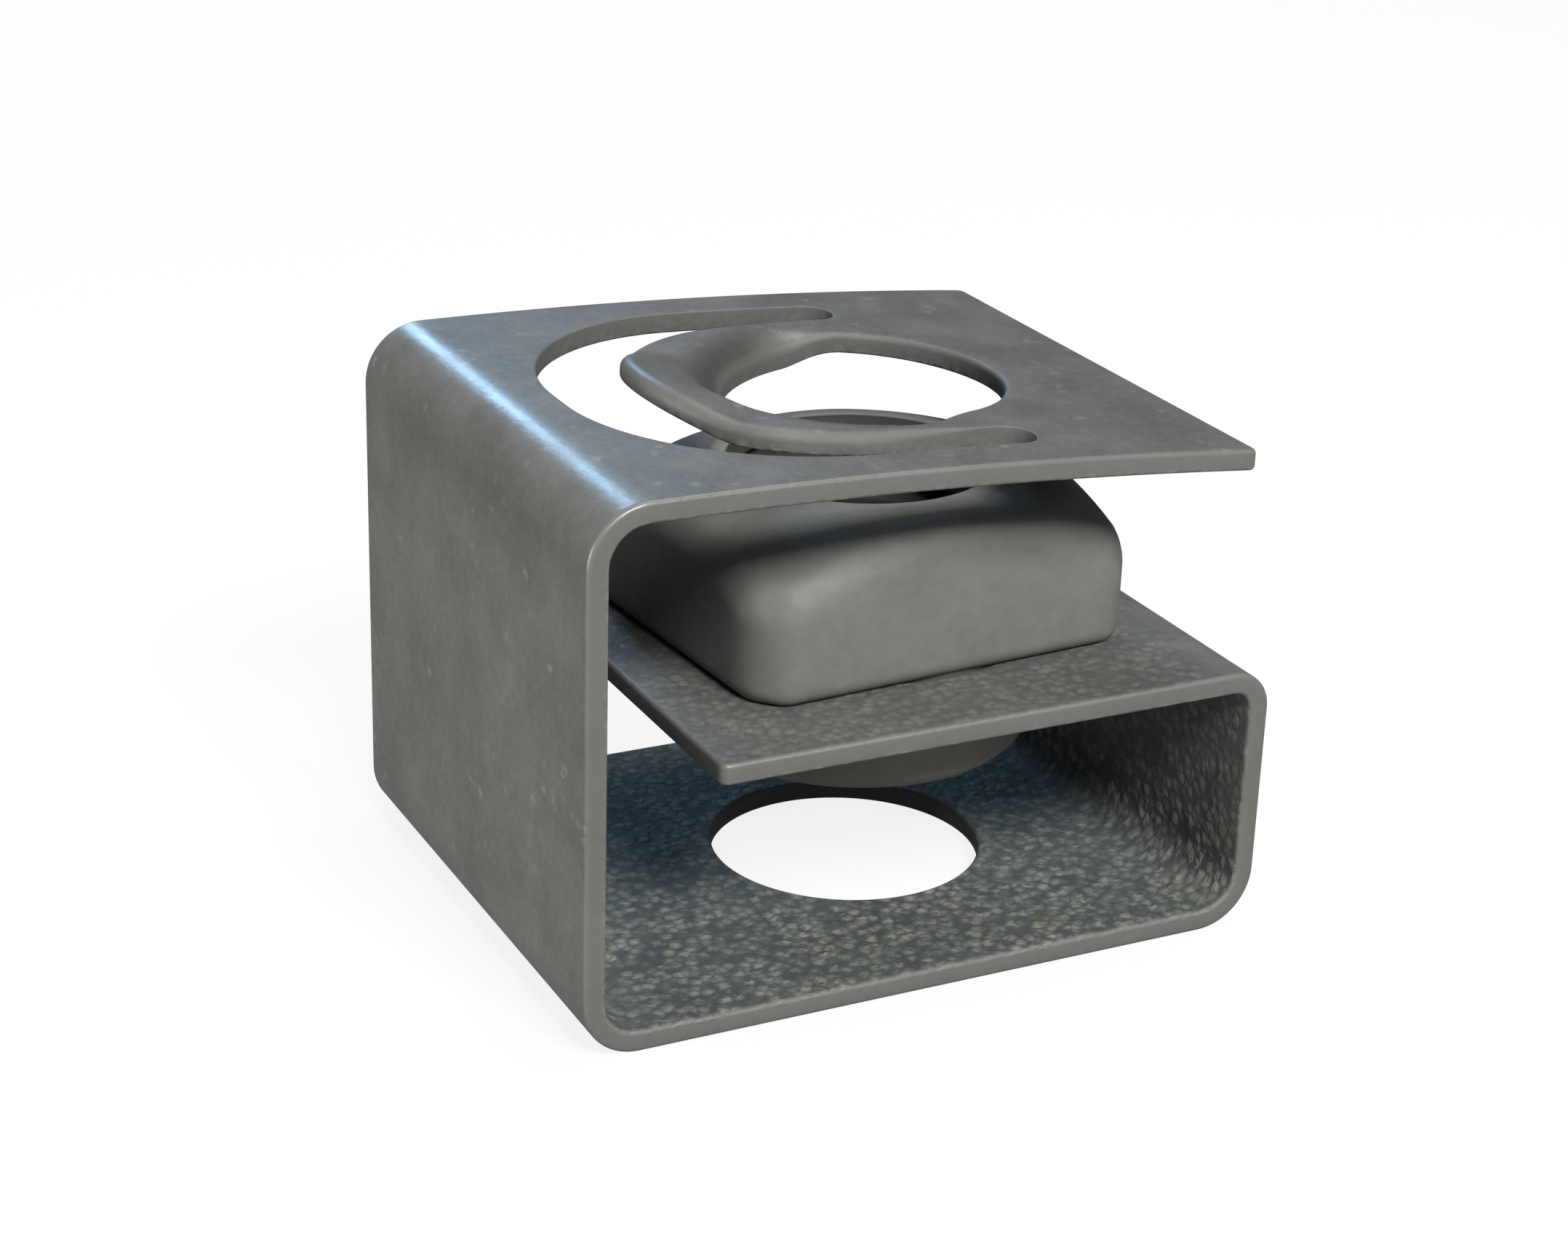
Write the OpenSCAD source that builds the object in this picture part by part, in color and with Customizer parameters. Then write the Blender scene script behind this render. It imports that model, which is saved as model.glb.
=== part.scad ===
// Cage nut: a loose nut kept inside a clip that is folded from one strip of spring steel.
// The bolt line is the Z axis, and the underside of the clip's floor is at z = 0.
// The closed back of the clip is at -X, and its open mouth faces +X. All sizes are in millimetres.

/* [Cage strip] */
// Width of the strip, along Y
strip_w = 27; // [25:0.5:34]
// Thickness of the sheet
sheet_t = 1.0; // [0.8:0.05:1.3]
// Length of the clip, from the back's outer face to the front's outer face
cage_l = 34; // [33:0.5:40]
// Height of the clip at its back, from the floor's underside to the roof's upper face
cage_h = 25.2; // [24:0.2:32]
// Height of the shelf's upper face over the floor's underside
shelf_h = 12.9; // [10:0.1:13.5]
// Clear gap between the back's inner face and the free end of the shelf
shelf_gap = 5.2; // [3:0.1:7]
// Length of the roof, from the back's outer face to its free end
roof_l = 32.2; // [28:0.2:38]
// Drop of the roof's free end, which is bowed down to grip
roof_drop = 1.5; // [0.5:0.1:2.5]

/* [Bends] */
// Outer radius of the bend between roof and back
roof_bend_r = 2.8; // [2:0.1:3.4]
// Outer radius of the bend between back and floor
floor_bend_r = 2.6; // [2:0.1:3.4]
// Outer radius of the bend between floor and front
front_bend_r = 2.8; // [2:0.1:3.4]
// Outer radius of the bend between front and shelf
shelf_bend_r = 1.9; // [1.5:0.1:3]

/* [Bolt line] */
// Distance from the back's outer face to the bolt line
bolt_x = 19.4; // [18.5:0.1:21]
// Diameter of the bolt's clearance holes in the floor and the roof
bolt_hole_d = 13; // [12.4:0.1:14]

/* [Roof tongue] */
// Width of the tongue that the slot frees
tongue_w = 17.3; // [16:0.1:18.4]
// Distance from the back's outer face to the tip of the tongue
tongue_tip_x = 8; // [7:0.1:9]
// Width of the slot beside the tongue
slot_w = 2.35; // [1.8:0.05:2.8]
// Width of the slot in front of the tongue's tip
slot_tip_w = 3.65; // [2.5:0.05:4]
// Corner radius of the slot round the tip
slot_corner_r = 10.2; // [8:0.1:10.4]
// How far the slot runs on past the bolt line
slot_past_bolt = 3.3; // [2:0.1:5]
// Height that the domed tip stands over the roof
dome_rise = 0.88; // [0.5:0.02:1.4]
// Radius of the domed area, seen from above
dome_reach = 6.6; // [5:0.1:8]
// Distance from the tip to the dome's middle, which lies over the slot
dome_lead = 1.5; // [0.5:0.1:2]
// Depth of the dish round the hole, at the hole's rim beside the bolt line
dish_drop = 0.7; // [0.3:0.05:0.9]
// Angle of the dish's slope
dish_angle = 40; // [30:1:45]
// Angle by which the dish leans down towards the tip
dish_lean = 3.4; // [0:0.2:4]

/* [Nut] */
// Length of the nut's block, along the clip
nut_l = 20.4; // [18:0.2:21]
// Width of the nut's block, across the clip
nut_w = 17.8; // [17.4:0.2:20]
// Height of the nut's block over the shelf
nut_h = 7.75; // [6.5:0.05:8.5]
// Radius of the block's upright corners
nut_corner_r = 1.6; // [1:0.1:4]
// Diameter of the flat that the crown leaves on top
crown_flat_d = 16; // [14:0.1:17.5]
// Diameter at which the crown's shoulder meets the upright corners
crown_d = 26; // [24:0.1:28]
// Height of the crown's shoulder
crown_drop = 3.4; // [3:0.1:5]
// Radius of the shoulder's bulge, in section
crown_r = 25; // [6:0.5:40]
// Angle by which the block is turned on the bolt line
nut_turn = 4; // [0:0.5:8]
// Diameter of the barrel that goes down through the shelf
barrel_d = 16.8; // [14.5:0.1:17.2]
// Length of the barrel under the block
barrel_l = 5.6; // [4.3:0.1:6]
// Chamfer at the barrel's lower end
barrel_chamfer = 0.6; // [0.2:0.1:0.9]
// Gap between the barrel and the hole in the shelf, all round
barrel_gap = 0.3; // [0.2:0.05:0.6]
// Nominal diameter of the thread
thread_d = 12; // [10:1:12]
// Pitch of the thread
thread_pitch = 1.75; // [1:0.25:1.75]
// How far the countersink at each end is wider than the thread, in radius
countersink_over = 0.3; // [0.1:0.05:0.35]

/* [Hidden] */
$fn = 96;

// An internal thread's core is 1.0825 pitches less than its nominal diameter
core_r = (thread_d - 1.0825 * thread_pitch) / 2;
countersink_r = thread_d / 2 + countersink_over;
// The countersinks are 90 degree cones
countersink_depth = countersink_r - core_r;

// The crown's shoulder is an arc from the rim of the flat to the upright corners
shoulder_run = (crown_d - crown_flat_d) / 2;
shoulder_chord = norm([shoulder_run, crown_drop]);
shoulder_back = sqrt(pow(crown_r, 2) - pow(shoulder_chord / 2, 2)) / shoulder_chord;
shoulder_centre = [
    (crown_d + crown_flat_d) / 4 - crown_drop * shoulder_back,
    nut_h - crown_drop / 2 - shoulder_run * shoulder_back
];

// Where the strip's faces stand, with the bolt line at x = 0
back_x = -bolt_x;
front_x = back_x + cage_l;
roof_end_x = back_x + roof_l;
shelf_end_x = back_x + sheet_t + shelf_gap;
roof_start_x = back_x + roof_bend_r;
shelf_z = shelf_h - sheet_t;

// The roof is an arc that starts level at its bend and drops to its free end
roof_run = roof_end_x - roof_start_x;
roof_arc_r = (roof_run * roof_run + roof_drop * roof_drop) / (2 * roof_drop);
function roof_face(x, r) = cage_h - roof_arc_r + sqrt(pow(r, 2) - pow(x - roof_start_x, 2));

// The tongue ends in a half circle, and its slot in half circles beside the bolt line
tongue_r = tongue_w / 2;
tip_x = back_x + tongue_tip_x;
slot_back_x = tip_x - slot_tip_w;
slot_half = tongue_r + slot_w;
slot_end_x = slot_past_bolt - slot_w / 2;

// The press domes the tongue's tip, and dishes the half of the tongue that lies towards the tip.
// The dish is a cone round the bolt line, and it fades from dish_full_x to the tongue's root.
dome_x = tip_x - dome_lead;
dome_blend = 0.25;
dish_blend = 0.5;
dish_foot = 0.8;
dish_full_x = -1;
function ease(t) = let (k = min(max(t, 0), 1)) k * k * (3 - 2 * k);
function soft_max(a, b, blend) = max(a, b) + pow(max(blend - abs(a - b), 0) / blend, 3) * blend / 6;
function dome(x, y) =
    soft_max(dome_rise * (1 - (pow(x - dome_x, 2) + y * y) / pow(dome_reach, 2)), 0, dome_blend);
function rim_gap(x, y) = max(norm([x, y]) - bolt_hole_d / 2, -dish_foot);
function dish_z(x, y) =
    roof_face(0, roof_arc_r) - dish_drop + x * tan(dish_lean) + rim_gap(x, y) * tan(dish_angle);
function dish(x, y) =
    soft_max(roof_face(x, roof_arc_r) + dome(x, y) - dish_z(x, y), 0, dish_blend)
    * (1 - ease((x - dish_full_x) / (slot_end_x - dish_full_x)));

// The pressed sheet is made of small facets, and its root tapers into the roof
press_step = 0.75;
root_l = 0.4;
root_taper = 0.12;

// Cuts run this far past the faces that they open
over = 1;

// The cage

// A quarter of a bent sheet, in the quadrant that turn gives, about the bend's centre
module bend(outer_r, turn) {
    rotate(turn) intersection() {
        difference() {
            circle(outer_r);
            circle(outer_r - sheet_t);
        }
        square(outer_r + over);
    }
}

// The bowed roof, drawn as an arc of sheet from the bend to the free end
module roof_section() {
    intersection() {
        translate([roof_start_x, cage_h - roof_arc_r]) difference() {
            circle(roof_arc_r);
            circle(roof_arc_r - sheet_t);
        }
        translate([roof_start_x, cage_h / 2]) square([roof_run, cage_h]);
    }
}

// The folded strip seen from its side: X to the right and Z up
module strip_section() {
    roof_section();
    translate([roof_start_x, cage_h - roof_bend_r]) bend(roof_bend_r, 90);
    translate([back_x, floor_bend_r]) square([sheet_t, cage_h - roof_bend_r - floor_bend_r]);
    translate([back_x + floor_bend_r, floor_bend_r]) bend(floor_bend_r, 180);
    translate([back_x + floor_bend_r, 0]) square([cage_l - floor_bend_r - front_bend_r, sheet_t]);
    translate([front_x - front_bend_r, front_bend_r]) bend(front_bend_r, 270);
    translate([front_x - sheet_t, front_bend_r])
        square([sheet_t, shelf_h - front_bend_r - shelf_bend_r]);
    translate([front_x - shelf_bend_r, shelf_h - shelf_bend_r]) bend(shelf_bend_r, 0);
    translate([shelf_end_x, shelf_z]) square([front_x - shelf_bend_r - shelf_end_x, sheet_t]);
}

// The tongue's outline from above, run on past its root into the roof
module tongue_outline() {
    translate([tip_x + tongue_r, 0]) {
        circle(tongue_r);
        translate([0, -tongue_r]) square([cage_l, tongue_w]);
    }
}

// The opening that holds tongue and slot, rounded towards the back
module slot_opening() {
    straight_x = slot_back_x + slot_corner_r;
    for (side = [-1, 1])
        translate([straight_x, side * (slot_half - slot_corner_r)]) circle(slot_corner_r);
    translate([slot_back_x, slot_corner_r - slot_half])
        square([slot_corner_r, 2 * (slot_half - slot_corner_r)]);
    translate([straight_x, -slot_half]) square([slot_end_x - straight_x, 2 * slot_half]);
}

// The round ends of the slot
module slot_ends() {
    for (side = [-1, 1])
        translate([slot_end_x, side * (tongue_r + slot_w / 2)]) circle(d = slot_w);
}

// A sheet that follows the bowed roof, with the dome and the dish pressed into it
module pressed_sheet() {
    cols = ceil((slot_end_x - tip_x) / press_step) + 1;
    rows = ceil(tongue_w / press_step) + 1;
    step_x = (slot_end_x - tip_x) / (cols - 1);
    step_y = tongue_w / (rows - 1);
    xs = concat([for (i = [0 : cols]) tip_x + (i - 1) * step_x], slot_end_x + root_l);
    ys = [for (j = [0 : rows + 1]) (j - 1) * step_y - tongue_r];
    wide = len(ys);
    count = len(xs) * wide;
    function taper(x) = x > slot_end_x ? root_taper : 0;
    upper = [for (x = xs, y = ys) [x, y, roof_face(x, roof_arc_r) + dome(x, y) - dish(x, y) - taper(x)]];
    lower = [for (x = xs, y = ys) [x, y, roof_face(x, roof_arc_r - sheet_t) + dome(x, y) - dish(x, y) + taper(x)]];
    last = len(xs) - 1;
    faces = concat(
        [for (i = [0 : last - 1], j = [0 : wide - 2], half = [0, 1])
            let (a = i * wide + j, b = a + wide) half == 0 ? [a, a + 1, b + 1] : [a, b + 1, b]],
        [for (i = [0 : last - 1], j = [0 : wide - 2], half = [0, 1])
            let (a = count + i * wide + j, b = a + wide) half == 0 ? [a, b + 1, a + 1] : [a, b, b + 1]],
        [for (i = [0 : last - 1], side = [0, wide - 1], half = [0, 1])
            let (a = i * wide + side, b = a + wide, c = count + a, d = count + b,
                face = half == 0 ? [a, b, d] : [a, d, c])
                side == 0 ? face : [face[2], face[1], face[0]]],
        [for (j = [0 : wide - 2], end = [0, last], half = [0, 1])
            let (a = end * wide + j, b = a + 1, c = count + a, d = count + b,
                face = half == 0 ? [a, d, b] : [a, c, d])
                end == 0 ? face : [face[2], face[1], face[0]]]
    );
    polyhedron(concat(upper, lower), faces);
}

// The tongue, trimmed from the pressed sheet
module tongue() {
    intersection() {
        pressed_sheet();
        translate([0, 0, shelf_h]) linear_extrude(cage_h) tongue_outline();
    }
}

module cage() {
    color([0.36, 0.36, 0.35]) difference() {
        union() {
            difference() {
                rotate([90, 0, 0]) linear_extrude(strip_w, center = true) strip_section();
                translate([0, 0, shelf_h]) linear_extrude(cage_h) {
                    slot_opening();
                    slot_ends();
                }
            }
            tongue();
        }
        // The bolt's holes in the roof and the floor
        translate([0, 0, shelf_h]) cylinder(h = cage_h, d = bolt_hole_d);
        translate([0, 0, -over]) cylinder(h = sheet_t + 2 * over, d = bolt_hole_d);
        // The hole in the shelf that the barrel stands in
        translate([0, 0, shelf_z - over])
            cylinder(h = sheet_t + 2 * over, d = barrel_d + 2 * barrel_gap);
    }
}

// The nut

// The block from above, with round upright corners
module block_outline() {
    long = nut_l / 2 - nut_corner_r;
    wide = nut_w / 2 - nut_corner_r;
    for (x = [-long, long], y = [-wide, wide]) translate([x, y]) circle(nut_corner_r);
    square([nut_l, 2 * wide], center = true);
    square([2 * long, nut_w], center = true);
}

// Half the crown's section: a flat top and a bulged shoulder that falls to the upright corners
module crown_section() {
    shoulder_z = nut_h - crown_drop;
    square([crown_d / 2, shoulder_z]);
    intersection() {
        translate(shoulder_centre) circle(crown_r);
        translate([0, shoulder_z]) square([crown_d / 2, crown_drop]);
    }
}

// Half the barrel's section, with its lower end chamfered
module barrel_section() {
    barrel_r = barrel_d / 2;
    polygon([
        [0, -barrel_l],
        [barrel_r - barrel_chamfer, -barrel_l],
        [barrel_r, barrel_chamfer - barrel_l],
        [barrel_r, 0],
        [0, 0]
    ]);
}

// The thread's core and the countersinks at its two ends
module bore() {
    translate([0, 0, -barrel_l - over]) cylinder(h = barrel_l + nut_h + 2 * over, r = core_r);
    translate([0, 0, nut_h - countersink_depth])
        cylinder(h = countersink_depth + over, r1 = core_r, r2 = countersink_r + over);
    translate([0, 0, -barrel_l - over])
        cylinder(h = countersink_depth + over, r1 = countersink_r + over, r2 = core_r);
}

module nut() {
    color([0.45, 0.46, 0.44]) translate([0, 0, shelf_h]) rotate(nut_turn) difference() {
        union() {
            intersection() {
                linear_extrude(nut_h) block_outline();
                rotate_extrude() crown_section();
            }
            rotate_extrude() barrel_section();
        }
        bore();
    }
}

cage();
nut();
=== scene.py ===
"""Cage nut: a loose nut in a clip that is folded from one strip of spring steel.

The clip is cut as a flat blank with rounded edges, and a Geometry Nodes tree bows its roof, raises
its tongue and folds it. The nut is a forged block whose thread is cut by a second tree.
The part's lengths are written in millimetres and turned into metres where meshes and trees are made.
The table and the lamps are written in metres.
"""

import math

import bmesh
import bpy
import numpy as np
from mathutils import Matrix, Vector
from mathutils.geometry import delaunay_2d_cdt


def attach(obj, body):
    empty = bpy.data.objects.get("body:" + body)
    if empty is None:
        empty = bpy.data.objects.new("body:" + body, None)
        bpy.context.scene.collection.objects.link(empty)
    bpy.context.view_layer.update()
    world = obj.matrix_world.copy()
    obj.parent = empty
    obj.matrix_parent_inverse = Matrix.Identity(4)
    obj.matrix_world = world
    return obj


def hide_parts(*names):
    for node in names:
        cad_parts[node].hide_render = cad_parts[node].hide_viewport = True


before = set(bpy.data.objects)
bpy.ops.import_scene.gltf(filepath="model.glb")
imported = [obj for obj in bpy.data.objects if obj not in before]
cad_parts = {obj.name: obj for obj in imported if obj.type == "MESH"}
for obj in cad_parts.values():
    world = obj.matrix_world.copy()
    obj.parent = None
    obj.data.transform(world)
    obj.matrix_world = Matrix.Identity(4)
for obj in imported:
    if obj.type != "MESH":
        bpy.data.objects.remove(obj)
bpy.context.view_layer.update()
scene = bpy.context.scene
MM = 0.001
QUARTER = math.pi / 2

# The clip's sizes, as in the part's source
STRIP_W = 27.0
SHEET_T = 1.0
CAGE_L = 34.0
CAGE_H = 25.2
SHELF_H = 12.9
SHELF_GAP = 5.2
ROOF_L = 32.2
ROOF_DROP = 1.5
ROOF_BEND_R = 2.8
FLOOR_BEND_R = 2.6
FRONT_BEND_R = 2.8
SHELF_BEND_R = 1.9
BOLT_X = 19.4
BOLT_HOLE_R = 6.5
TONGUE_R = 8.65
TONGUE_TIP_X = 8.0
SLOT_W = 2.35
SLOT_TIP_W = 3.65
SLOT_CORNER_R = 10.2
SLOT_PAST_BOLT = 3.3
DOME_RISE = 0.88
DOME_REACH = 6.6
DOME_LEAD = 1.5
DOME_BLEND = 0.25
DISH_DROP = 0.7
DISH_ANGLE = 40.0
DISH_LEAN = 3.4
DISH_BLEND = 0.5
DISH_FOOT = 0.8
DISH_FULL_X = -1.0

# The nut's sizes, as in the part's source
NUT_L = 20.4
NUT_W = 17.8
NUT_H = 7.75
NUT_CORNER_R = 1.6
CROWN_FLAT_R = 8.0
CROWN_R = 13.0
CROWN_DROP = 3.4
CROWN_BULGE_R = 25.0
BARREL_R = 8.4
BARREL_L = 5.6
BARREL_CHAMFER = 0.6
BARREL_GAP = 0.3
THREAD_R = 6.0
THREAD_PITCH = 1.75
COUNTERSINK_R = 6.3

# The loose nut lies a little turned on its shelf, in degrees
NUT_TURN = 4.0

# The thread's form in pitches: its core, and from the groove's middle the ends of root and flank
CORE_PITCHES = 1.0825
ROOT_END = 1 / 16
FLANK_END = 3 / 8
CORE_R = THREAD_R - CORE_PITCHES * THREAD_PITCH / 2

# Roundings that the press tools leave on the clip's edges
STRIP_EDGE_R = 0.22
SLOT_EDGE_R = 0.08
TIP_EDGE_R = 0.55
HOLE_EDGE_R = 0.3
BURR_EDGE_R = 0.16
BLANK_CORNER_R = 0.45

# The tongue's edge is rounded more towards its tip, from this place on and over this run
TIP_ROUND_X = 1.5
TIP_ROUND_RUN = 5.0

# Roundings that forging and tumbling leave on the nut, and the reach that its corners are worn to
NUT_WORN_R = 12.5
NUT_WORN_ROUND = 0.6
NUT_CROWN_ROUND = 1.0
NUT_TOP_ROUND = 1.2
NUT_BASE_ROUND = 0.8
LATHE_SOFT = 0.12
LATHE_CUT = 0.7 * LATHE_SOFT

# Places along X in the folded clip, with the bolt line at zero
BACK_X = -BOLT_X
FRONT_X = BACK_X + CAGE_L
ROOF_END_X = BACK_X + ROOF_L
ROOF_START_X = BACK_X + ROOF_BEND_R
SHELF_END_X = BACK_X + SHEET_T + SHELF_GAP
TIP_X = BACK_X + TONGUE_TIP_X
TONGUE_X = TIP_X + TONGUE_R
SLOT_END_X = SLOT_PAST_BOLT - SLOT_W / 2

# The roof's level and bow, at the middle of the sheet's thickness
LEVEL = CAGE_H - SHEET_T / 2
ROOF_RUN = ROOF_END_X - ROOF_START_X
BOW_R = (ROOF_RUN**2 + ROOF_DROP**2) / (2 * ROOF_DROP)
BOLT_SAG = math.sqrt(BOW_R**2 - ROOF_START_X**2) - BOW_R


def mid_r(outer_r):
    """A bend's radius at the middle of the sheet's thickness."""
    return outer_r - SHEET_T / 2


def bend_length(outer_r):
    """How much of the strip a bend takes up."""
    return mid_r(outer_r) * QUARTER


# Where the flat blank's zones begin, measured along the strip from the roof's free end
ROOF_BEND_AT = ROOF_RUN
BACK_AT = ROOF_BEND_AT + bend_length(ROOF_BEND_R)
FLOOR_BEND_AT = BACK_AT + CAGE_H - ROOF_BEND_R - FLOOR_BEND_R
FLOOR_AT = FLOOR_BEND_AT + bend_length(FLOOR_BEND_R)
FRONT_BEND_AT = FLOOR_AT + CAGE_L - FLOOR_BEND_R - FRONT_BEND_R
FRONT_AT = FRONT_BEND_AT + bend_length(FRONT_BEND_R)
SHELF_BEND_AT = FRONT_AT + SHELF_H - FRONT_BEND_R - SHELF_BEND_R
SHELF_AT = SHELF_BEND_AT + bend_length(SHELF_BEND_R)
BLANK_L = SHELF_AT + FRONT_X - SHELF_BEND_R - SHELF_END_X
FLOOR_HOLE_AT = FLOOR_AT - BACK_X - FLOOR_BEND_R
SHELF_HOLE_AT = SHELF_AT + FRONT_X - SHELF_BEND_R

# Each bend's line on the blank and its outer radius
BENDS = {
    "Roof": (ROOF_BEND_AT, ROOF_BEND_R),
    "Floor": (FLOOR_BEND_AT, FLOOR_BEND_R),
    "Front": (FRONT_BEND_AT, FRONT_BEND_R),
    "Shelf": (SHELF_BEND_AT, SHELF_BEND_R),
}


# Node helpers

FLOAT = "NodeSocketFloat"
VECTOR = "NodeSocketVector"
GEOMETRY = "NodeSocketGeometry"
MATERIAL = "NodeSocketMaterial"


def put(tree, kind, sockets=None, **settings):
    """Adds a node, sets its properties, and sets or links its inputs."""
    node = tree.nodes.new(kind)
    for key, value in settings.items():
        setattr(node, key, value)
    for key, value in (sockets or {}).items():
        if isinstance(value, bpy.types.NodeSocket):
            tree.links.new(value, node.inputs[key])
        else:
            node.inputs[key].default_value = value
    return node


def calc(tree, operation, *values, clamp=False):
    """One step of arithmetic on numbers and on other nodes' outputs."""
    node = put(tree, "ShaderNodeMath", dict(enumerate(values)), operation=operation, use_clamp=clamp)
    return node.outputs[0]


def span(tree, value, low, high, to_low=0.0, to_high=1.0, smooth=True):
    """Maps a value from low..high to to_low..to_high, held at both ends."""
    node = put(
        tree,
        "ShaderNodeMapRange",
        {0: value, 1: low, 2: high, 3: to_low, 4: to_high},
        interpolation_type="SMOOTHSTEP" if smooth else "LINEAR",
    )
    return node.outputs[0]


def vector(tree, **axes):
    """A vector from its X, Y and Z, each zero where it isn't given."""
    return put(tree, "ShaderNodeCombineXYZ", axes).outputs[0]


def axes_of(tree, place):
    """The X, Y and Z outputs of a vector."""
    return put(tree, "ShaderNodeSeparateXYZ", {0: place}).outputs


def point_place(tree):
    """Where a point of the mesh is."""
    return put(tree, "GeometryNodeInputPosition").outputs[0]


def point_value(tree, name):
    """A number that the mesh carries on its points, read in a Geometry Nodes tree."""
    return put(tree, "GeometryNodeInputNamedAttribute", {"Name": name}, data_type="FLOAT").outputs[0]


def point_mask(tree, name):
    """A number that the mesh carries on its points, read in a material."""
    return put(tree, "ShaderNodeAttribute", attribute_name=name).outputs["Fac"]


def new_tree(name, kind, inputs, outputs):
    """An empty tree with named sockets, and its input and output nodes."""
    tree = bpy.data.node_groups.new(name, kind)
    for label, socket in inputs:
        tree.interface.new_socket(label, in_out="INPUT", socket_type=socket)
    for label, socket in outputs:
        tree.interface.new_socket(label, in_out="OUTPUT", socket_type=socket)
    return tree, tree.nodes.new("NodeGroupInput"), tree.nodes.new("NodeGroupOutput")


def bare_tree(owner):
    """Turns on the nodes of a material or a world, and empties them."""
    owner.use_nodes = True
    owner.node_tree.nodes.clear()
    return owner.node_tree


def finish_tree(tree, shape, steel, result):
    """Ends a Geometry Nodes tree with real faces in their steel."""
    real = put(tree, "GeometryNodeRealizeInstances", {0: shape})
    coated = put(tree, "GeometryNodeSetMaterial", {"Geometry": real.outputs[0], "Material": steel})
    tree.links.new(coated.outputs[0], result.inputs[0])


def run_tree(mesh, tree, values):
    """Puts a mesh through a Geometry Nodes tree and returns the plain mesh that comes out."""
    piece = bpy.data.objects.new("in_work", mesh)
    scene.collection.objects.link(piece)
    modifier = piece.modifiers.new("tree", "NODES")
    modifier.node_group = tree
    for item in tree.interface.items_tree:
        if item.item_type == "SOCKET" and item.in_out == "INPUT" and item.name in values:
            modifier[item.identifier] = values[item.name]
    bpy.context.view_layer.update()
    done = piece.evaluated_get(bpy.context.evaluated_depsgraph_get())
    plain = bpy.data.meshes.new_from_object(done)
    piece.modifiers.remove(modifier)
    bpy.data.objects.remove(piece)
    return plain


# Mesh helpers


def give(mesh, name, values):
    """Puts one number on each point of a mesh, under a name that trees and materials read."""
    attribute = mesh.attributes.new(name, "FLOAT", "POINT")
    attribute.data.foreach_set("value", np.asarray(values, np.float32))


def tidy_normals(mesh):
    """Turns all faces outwards and shades them smooth."""
    shape = bmesh.new()
    shape.from_mesh(mesh)
    bmesh.ops.recalc_face_normals(shape, faces=shape.faces)
    shape.to_mesh(mesh)
    shape.free()
    mesh.shade_smooth()


# The flat blank of the clip

# Gaps between the points of its mesh
EDGE_GAP = 0.33
CORNER_GAP = 0.1
ROOF_GAP = 0.36
BEND_GAP = 0.24
SHELF_BEND_GAP = 0.18
WALL_GAP = 0.6
FLAT_GAP = 0.55
SHELF_END_GAP = 0.5

# Grid points stretch across the strip by this much, and keep this clear of every edge
GRID_STRETCH = 1.6
EDGE_CLEAR = 0.3

# Each edge has this many rings to a rounding, and a ring this far in on the flat beside it
EDGE_RINGS = 6
FLAT_MARGIN = 0.1

# How much a rounding shows the cut steel: where it starts, and what it gains with each radian
CUT_START = 0.25
CUT_GAIN = 0.75

# Points of the slot this near to the tongue's outline are on it
ON_OUTLINE = 0.01

# The rim's rows start this many corner radii in from the blank's ends
CORNER_ROOM = 1.2

# How the blank's triangles are made: only inside its outline, with points merged this close
INSIDE_OUTLINE = 1
MERGE_GAP = 1e-5
EDGE_BATCHES = 12


def arc(x, y, radius, start, end, into, gap=EDGE_GAP):
    """Points of an arc with their normals into the sheet: into is 1 outwards or -1 to the centre."""
    steps = max(6, math.ceil(abs(end - start) * radius / gap))
    angles = np.linspace(start, end, steps, endpoint=False)
    out = np.stack([np.cos(angles), np.sin(angles)], 1)
    return np.hstack([np.array([x, y]) + radius * out, into * out])


def line(start, end, normal, gap=EDGE_GAP):
    """Points of a straight edge with their normal into the sheet."""
    steps = max(1, math.ceil(math.dist(start, end) / gap))
    share = np.linspace(0, 1, steps, endpoint=False)[:, None]
    points = np.array(start) * (1 - share) + np.array(end) * share
    return np.hstack([points, np.tile(normal, (steps, 1))])


def flat_x(along):
    """Where a place along the strip is on X while the blank is flat."""
    return ROOF_END_X - along


def hole_loop(along, radius):
    """A round hole on the strip's middle line."""
    return arc(flat_x(along), 0, radius, 0, 2 * math.pi, 1)


def slot_loop():
    """The U-shaped slot: round its opening, a round end, back along the tongue, a round end."""
    back_x = TIP_X - SLOT_TIP_W
    straight_x = back_x + SLOT_CORNER_R
    half = TONGUE_R + SLOT_W
    end_y = TONGUE_R + SLOT_W / 2
    corner_y = half - SLOT_CORNER_R
    return np.vstack(
        [
            line((SLOT_END_X, -half), (straight_x, -half), (0, -1)),
            arc(straight_x, -corner_y, SLOT_CORNER_R, -QUARTER, -2 * QUARTER, 1),
            line((back_x, -corner_y), (back_x, corner_y), (-1, 0)),
            arc(straight_x, corner_y, SLOT_CORNER_R, 2 * QUARTER, QUARTER, 1),
            line((straight_x, half), (SLOT_END_X, half), (0, 1)),
            arc(SLOT_END_X, end_y, SLOT_W / 2, QUARTER, -QUARTER, 1),
            line((SLOT_END_X, TONGUE_R), (TONGUE_X, TONGUE_R), (0, -1)),
            arc(TONGUE_X, 0, TONGUE_R, QUARTER, 3 * QUARTER, -1),
            line((TONGUE_X, -TONGUE_R), (SLOT_END_X, -TONGUE_R), (0, 1)),
            arc(SLOT_END_X, -end_y, SLOT_W / 2, QUARTER, -QUARTER, 1),
        ]
    )


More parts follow.
